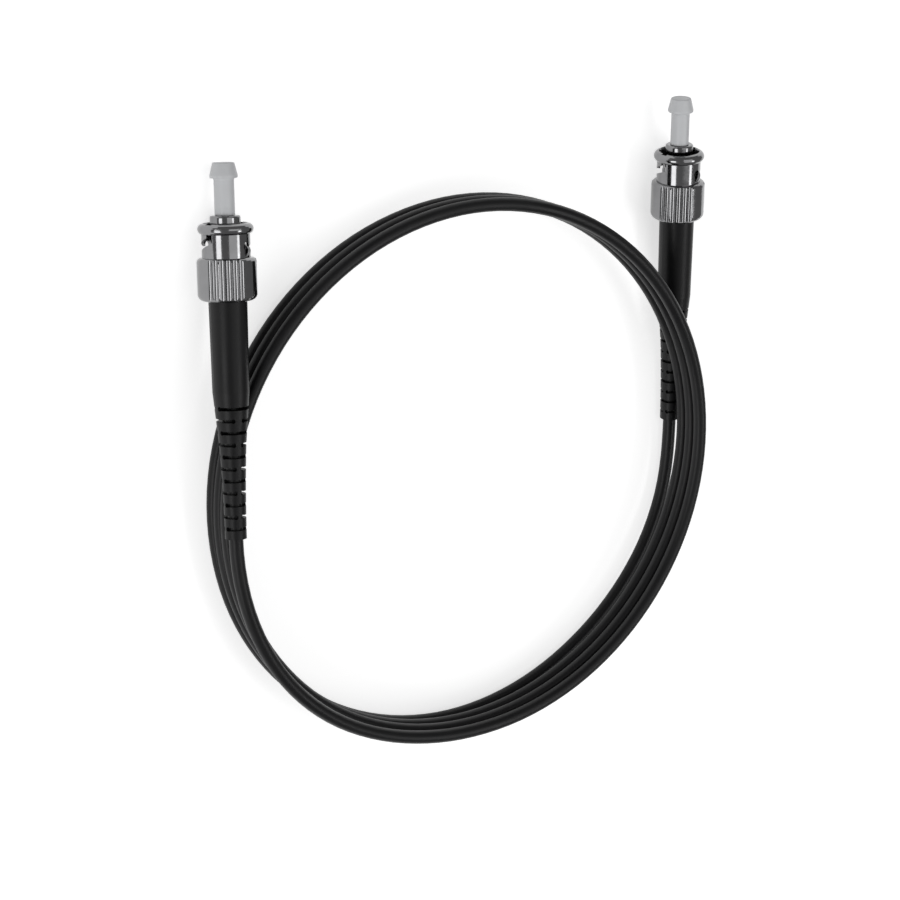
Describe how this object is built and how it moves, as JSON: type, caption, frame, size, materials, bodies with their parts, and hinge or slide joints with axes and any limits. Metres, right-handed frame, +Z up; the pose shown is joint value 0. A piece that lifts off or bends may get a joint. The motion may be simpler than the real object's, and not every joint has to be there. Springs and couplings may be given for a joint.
{
  "type": "fibre patch cord",
  "caption": "Simplex fibre patch cord: bayonet connectors with fluted coupling nuts, flex boots and dust caps on a coiled round cable.",
  "frame": {"origin": "on the surface it lies on, midway across the box that holds the two connectors", "axes": "+X from connector a to connector b, +Y the way both connectors point, away from the coil, +Z up"},
  "size_m": [0.1032, 0.1108, 0.0131],
  "materials": {
    "boot_rubber": "satin",
    "cable_jacket": "satin",
    "crimp_brass": "satin",
    "aramid": "matte",
    "buffer": "satin",
    "silica": "clear",
    "nickel": "bright nickel plate",
    "zirconia": "polished ceramic",
    "spring_steel": "bright",
    "steel": "bright",
    "cap_plastic": "satin"
  },
  "bodies": {
    "cable_and_barrels": {"boot_a": "boot_rubber", "jacket_end_a": "cable_jacket", "crimp_sleeve_a": "crimp_brass", "aramid_yarn_a": "aramid", "buffer_tube_a": "buffer", "glass_fibre_a": "silica", "barrel_a": "nickel", "ferrule_a": "zirconia", "retaining_clip_a": "spring_steel", "spring_a": "spring_steel", "boot_b": "boot_rubber", "jacket_end_b": "cable_jacket", "crimp_sleeve_b": "crimp_brass", "aramid_yarn_b": "aramid", "buffer_tube_b": "buffer", "glass_fibre_b": "silica", "barrel_b": "nickel", "ferrule_b": "zirconia", "retaining_clip_b": "spring_steel", "spring_b": "spring_steel", "cord_coil": "cable_jacket", "cord_lead_a": "cable_jacket", "cord_lead_b": "cable_jacket"},
    "slider_a": {"thrust_washer_a": "steel"},
    "nut_a": {"coupling_nut_a": "nickel"},
    "cap_a": {"dust_cap_a": "cap_plastic"},
    "slider_b": {"thrust_washer_b": "steel"},
    "nut_b": {"coupling_nut_b": "nickel"},
    "cap_b": {"dust_cap_b": "cap_plastic"}
  },
  "joints": [
    {"name": "nut_slide_a", "type": "slide", "parent": "cable_and_barrels", "child": "slider_a", "axis": [0.0847, 0.9876, -0.1323], "range_m": [0, 0.0015], "stiffness_N_per_m": 2500, "springref_m": -0.0015, "deforming": ["spring_a"]},
    {"name": "nut_turn_a", "type": "hinge", "parent": "slider_a", "child": "nut_a", "pos_m": [-0.04599, 0.01394, 0.00528], "axis": [0.0847, 0.9876, -0.1323], "continuous": true},
    {"name": "cap_pull_a", "type": "slide", "parent": "cable_and_barrels", "child": "cap_a", "axis": [0.0847, 0.9876, -0.1323], "range_m": [0, 0.009]},
    {"name": "nut_slide_b", "type": "slide", "parent": "cable_and_barrels", "child": "slider_b", "axis": [-0.0261, 0.9973, 0.068], "range_m": [0, 0.0015], "stiffness_N_per_m": 2500, "springref_m": -0.0015, "deforming": ["spring_b"]},
    {"name": "nut_turn_b", "type": "hinge", "parent": "slider_b", "child": "nut_b", "pos_m": [0.04662, 0.01438, 0.00516], "axis": [-0.0261, 0.9973, 0.068], "continuous": true},
    {"name": "cap_pull_b", "type": "slide", "parent": "cable_and_barrels", "child": "cap_b", "axis": [-0.0261, 0.9973, 0.068], "range_m": [0, 0.009]}
  ]
}
